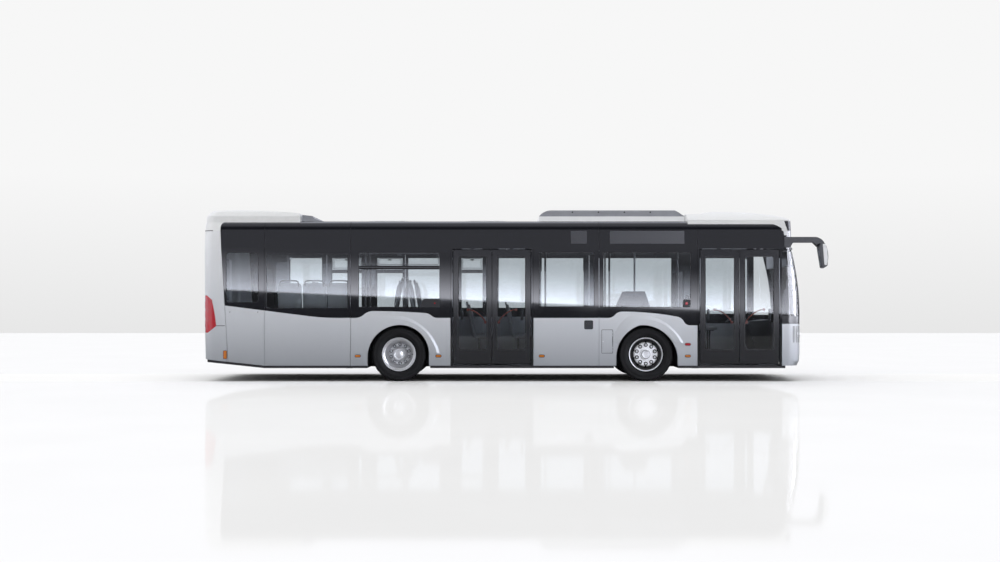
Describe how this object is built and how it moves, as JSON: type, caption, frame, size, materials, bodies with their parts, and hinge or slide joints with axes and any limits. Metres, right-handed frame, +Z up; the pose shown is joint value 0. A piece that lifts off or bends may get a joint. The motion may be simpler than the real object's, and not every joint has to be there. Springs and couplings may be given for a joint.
{
  "type": "city bus",
  "caption": "Short low-floor city bus with silver skirts, a dark glazed window band, inward-swinging double doors, steered front wheels and twin rear wheels.",
  "frame": {"origin": "on the ground, at the middle of the overall length and width", "axes": "+X forward, +Y to the bus's left, +Z up"},
  "size_m": [11.099, 2.814, 3.0751],
  "materials": {
    "silver_paint": "satin metallic",
    "white_paint": "gloss",
    "band_gloss": "high gloss",
    "glass": "tinted",
    "ac_grey": "matte",
    "red_lens": "gloss",
    "clear_lens": "gloss",
    "amber_lens": "gloss",
    "sign_panel": "satin",
    "black_plastic": "satin",
    "floor_covering": "matte",
    "seat_fabric": "woven",
    "grab_yellow": "satin",
    "tyre": "matte",
    "wheel_silver": "satin",
    "chassis_black": "painted"
  },
  "bodies": {
    "bus_body": {"skirt_panels_right": "silver_paint", "skirt_panels_left": "silver_paint", "window_band_right": "band_gloss", "window_band_left": "band_gloss", "side_glass_right": "glass", "side_glass_left": "glass", "cove_panels_right": "band_gloss", "cove_panels_left": "band_gloss", "roof_skin": "white_paint", "rear_panel": "silver_paint", "tail_lamps": "red_lens", "rear_window": "glass", "rear_header": "silver_paint", "front_panel": "silver_paint", "headlamps": "clear_lens", "windscreen": "glass", "front_header": "band_gloss", "roof_rear_cover": "white_paint", "roof_vent": "ac_grey", "ac_base": "white_paint", "ac_cover": "ac_grey", "roof_front_dome": "white_paint", "wheel_houses": "floor_covering", "floor_platform": "floor_covering", "engine_block": "chassis_black", "rear_podium": "floor_covering", "door_frames": "band_gloss", "front_axle": "chassis_black", "rear_axle": "chassis_black", "route_signs": "sign_panel", "marker_lamps": "amber_lens", "mirrors": "black_plastic", "seats": "seat_fabric", "grab_poles": "grab_yellow", "driver_desk": "black_plastic", "cab_partition": "floor_covering"},
    "steer_left": {"knuckle_left": "chassis_black"},
    "steer_right": {"knuckle_right": "chassis_black"},
    "front_wheel_left": {"front_wheel_left": "wheel_silver", "front_tyre_left": "tyre"},
    "front_wheel_right": {"front_wheel_right": "wheel_silver", "front_tyre_right": "tyre"},
    "rear_wheel_left": {"rear_wheel_left": "wheel_silver", "rear_tyres_left": "tyre"},
    "rear_wheel_right": {"rear_wheel_right": "wheel_silver", "rear_tyres_right": "tyre"},
    "engine_flap": {"engine_flap": "silver_paint"},
    "filler_flap": {"filler_flap": "silver_paint"},
    "door_1_column_rear": {"door_1_column_rear": "grab_yellow"},
    "door_1_leaf_rear": {"door_1_leaf_rear": "black_plastic", "door_1_glass_rear": "glass"},
    "door_1_column_front": {"door_1_column_front": "grab_yellow"},
    "door_1_leaf_front": {"door_1_leaf_front": "black_plastic", "door_1_glass_front": "glass"},
    "door_2_column_rear": {"door_2_column_rear": "grab_yellow"},
    "door_2_leaf_rear": {"door_2_leaf_rear": "black_plastic", "door_2_glass_rear": "glass"},
    "door_2_column_front": {"door_2_column_front": "grab_yellow"},
    "door_2_leaf_front": {"door_2_leaf_front": "black_plastic", "door_2_glass_front": "glass"}
  },
  "joints": [
    {"name": "door_1_column_rear_turn", "type": "hinge", "parent": "bus_body", "child": "door_1_column_rear", "pos_m": [3.2715, -1.156, 1.3], "axis": [0, 0, 1], "range_deg": [0, 88]},
    {"name": "door_1_leaf_rear_turn", "type": "hinge", "parent": "door_1_column_rear", "child": "door_1_leaf_rear", "pos_m": [3.663, -1.156, 1.3], "axis": [0, 0, -1], "range_deg": [0, 176]},
    {"name": "door_1_column_front_turn", "type": "hinge", "parent": "bus_body", "child": "door_1_column_front", "pos_m": [4.7575, -1.156, 1.3], "axis": [0, 0, -1], "range_deg": [0, 88]},
    {"name": "door_1_leaf_front_turn", "type": "hinge", "parent": "door_1_column_front", "child": "door_1_leaf_front", "pos_m": [4.366, -1.156, 1.3], "axis": [0, 0, 1], "range_deg": [0, 176]},
    {"name": "door_2_column_rear_turn", "type": "hinge", "parent": "bus_body", "child": "door_2_column_rear", "pos_m": [-1.1145, -1.156, 1.3], "axis": [0, 0, 1], "range_deg": [0, 88]},
    {"name": "door_2_leaf_rear_turn", "type": "hinge", "parent": "door_2_column_rear", "child": "door_2_leaf_rear", "pos_m": [-0.72925, -1.156, 1.3], "axis": [0, 0, -1], "range_deg": [0, 176]},
    {"name": "door_2_column_front_turn", "type": "hinge", "parent": "bus_body", "child": "door_2_column_front", "pos_m": [0.3465, -1.156, 1.3], "axis": [0, 0, -1], "range_deg": [0, 88]},
    {"name": "door_2_leaf_front_turn", "type": "hinge", "parent": "door_2_column_front", "child": "door_2_leaf_front", "pos_m": [-0.03875, -1.156, 1.3], "axis": [0, 0, 1], "range_deg": [0, 176]},
    {"name": "steering_right", "type": "hinge", "parent": "bus_body", "child": "steer_right", "pos_m": [2.3565, -0.96, 0.479], "axis": [0, 0, 1], "range_deg": [-45, 45]},
    {"name": "front_wheel_right_spin", "type": "hinge", "parent": "steer_right", "child": "front_wheel_right", "pos_m": [2.3565, -1.065, 0.479], "axis": [0, 1, 0], "continuous": true},
    {"name": "rear_wheel_right_spin", "type": "hinge", "parent": "bus_body", "child": "rear_wheel_right", "pos_m": [-2.0415, -0.917, 0.479], "axis": [0, 1, 0], "continuous": true},
    {"name": "steering_left", "type": "hinge", "parent": "bus_body", "child": "steer_left", "pos_m": [2.3565, 0.96, 0.479], "axis": [0, 0, 1], "range_deg": [-45, 45]},
    {"name": "front_wheel_left_spin", "type": "hinge", "parent": "steer_left", "child": "front_wheel_left", "pos_m": [2.3565, 1.065, 0.479], "axis": [0, 1, 0], "continuous": true},
    {"name": "rear_wheel_left_spin", "type": "hinge", "parent": "bus_body", "child": "rear_wheel_left", "pos_m": [-2.0415, 0.917, 0.479], "axis": [0, 1, 0], "continuous": true},
    {"name": "engine_flap_hinge", "type": "hinge", "parent": "bus_body", "child": "engine_flap", "pos_m": [-5.5415, 0, 1.299], "axis": [0, 1, 0], "range_deg": [0, 70]},
    {"name": "filler_flap_hinge", "type": "hinge", "parent": "bus_body", "child": "filler_flap", "pos_m": [1.7535, -1.258, 0.71], "axis": [0, 0, 1], "range_deg": [0, 100]}
  ],
  "couplings": [
    {"joint": "door_1_leaf_rear_turn", "follows": "door_1_column_rear_turn", "ratio": 2},
    {"joint": "door_1_column_front_turn", "follows": "door_1_column_rear_turn", "ratio": 1},
    {"joint": "door_1_leaf_front_turn", "follows": "door_1_column_rear_turn", "ratio": 2},
    {"joint": "door_2_leaf_rear_turn", "follows": "door_2_column_rear_turn", "ratio": 2},
    {"joint": "door_2_column_front_turn", "follows": "door_2_column_rear_turn", "ratio": 1},
    {"joint": "door_2_leaf_front_turn", "follows": "door_2_column_rear_turn", "ratio": 2},
    {"joint": "steering_right", "follows": "steering_left", "ratio": 1}
  ]
}
